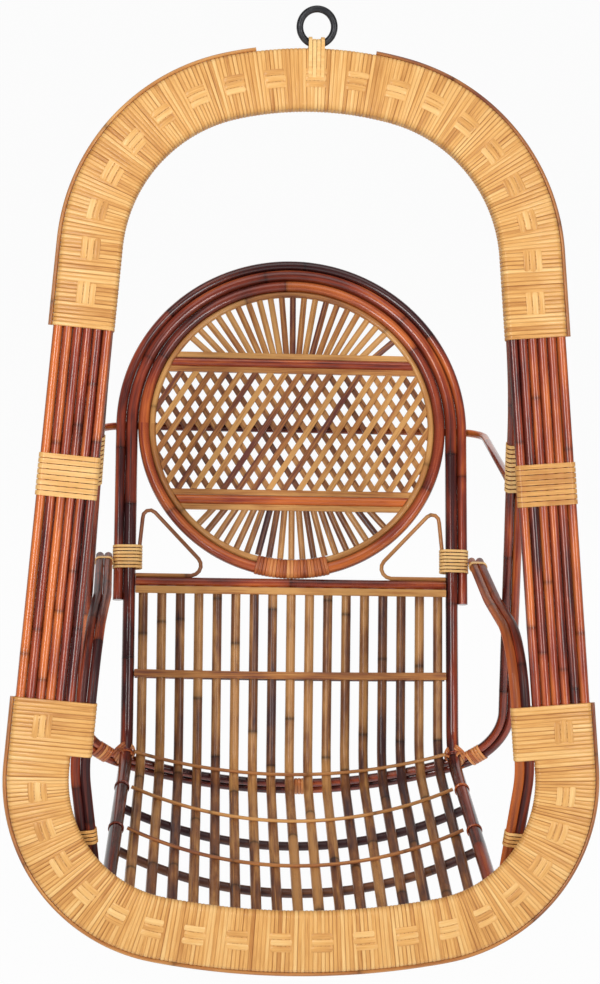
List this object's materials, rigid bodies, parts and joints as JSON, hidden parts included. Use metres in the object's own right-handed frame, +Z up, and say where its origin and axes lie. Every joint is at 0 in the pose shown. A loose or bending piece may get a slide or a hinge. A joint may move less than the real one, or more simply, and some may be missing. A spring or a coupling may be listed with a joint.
{
  "type": "hanging cane swing chair",
  "caption": "Cane swing chair: an egg-shaped hoop of bent canes hung from an iron ring, with a scooped slat seat, cane arms and a reclined back with a round sunburst and lattice panel.",
  "frame": {"origin": "centre of the hanging ring's eye", "axes": "+Z up, +X to the right as seen from in front of the chair, +Y from the front hoop towards the back"},
  "size_m": [0.8662, 0.9037, 1.3514],
  "materials": {
    "iron": "black, slightly glossy",
    "lacquered_cane": "gloss lacquer",
    "natural_cane": "semi-gloss",
    "mottled_cane": "gloss lacquer"
  },
  "bodies": {
    "ring": {"hang_ring": "iron"},
    "chair": {"arch_wrap": "natural_cane", "arm_inner_left": "lacquered_cane", "arm_inner_right": "lacquered_cane", "arm_outer_left": "lacquered_cane", "arm_outer_right": "lacquered_cane", "arm_strap_left": "natural_cane", "arm_strap_right": "natural_cane", "back_arch": "lacquered_cane", "back_brace": "lacquered_cane", "back_frame": "lacquered_cane", "back_mid_cane": "lacquered_cane", "back_mid_strip": "natural_cane", "back_top_rail": "lacquered_cane", "back_top_strip": "natural_cane", "bar_strips": "natural_cane", "corner_loop_left": "natural_cane", "corner_loop_right": "natural_cane", "corner_wrap_left": "natural_cane", "corner_wrap_right": "natural_cane", "hoop_cane_1": "lacquered_cane", "hoop_cane_2": "lacquered_cane", "hoop_cane_3": "lacquered_cane", "hoop_cane_4": "lacquered_cane", "hoop_cane_5": "lacquered_cane", "hoop_cane_6": "lacquered_cane", "lattice_front": "mottled_cane", "lattice_rear": "mottled_cane", "leg_lashing_left": "natural_cane", "leg_lashing_right": "natural_cane", "lower_bar": "lacquered_cane", "lower_rays": "mottled_cane", "lower_rim": "natural_cane", "panel_liner": "natural_cane", "panel_ring": "lacquered_cane", "panel_tie": "natural_cane", "post_wrap_left": "natural_cane", "post_wrap_right": "natural_cane", "rear_band_left": "natural_cane", "rear_band_right": "natural_cane", "rear_hoop_cane_1": "lacquered_cane", "rear_hoop_cane_2": "lacquered_cane", "ring_lashing": "natural_cane", "seat_bindings": "natural_cane", "side_band_left": "natural_cane", "side_band_right": "natural_cane", "sill_wrap": "natural_cane", "slats": "mottled_cane", "under_canes": "lacquered_cane", "upper_bar": "lacquered_cane", "upper_rays": "mottled_cane", "upper_rim_left": "natural_cane", "upper_rim_right": "natural_cane"}
  },
  "joints": [
    {"name": "ring_swing", "type": "hinge", "parent": "ring", "child": "chair", "pos_m": [0, 0, -0.025], "axis": [1, 0, 0], "range_deg": [-25, 25]}
  ]
}
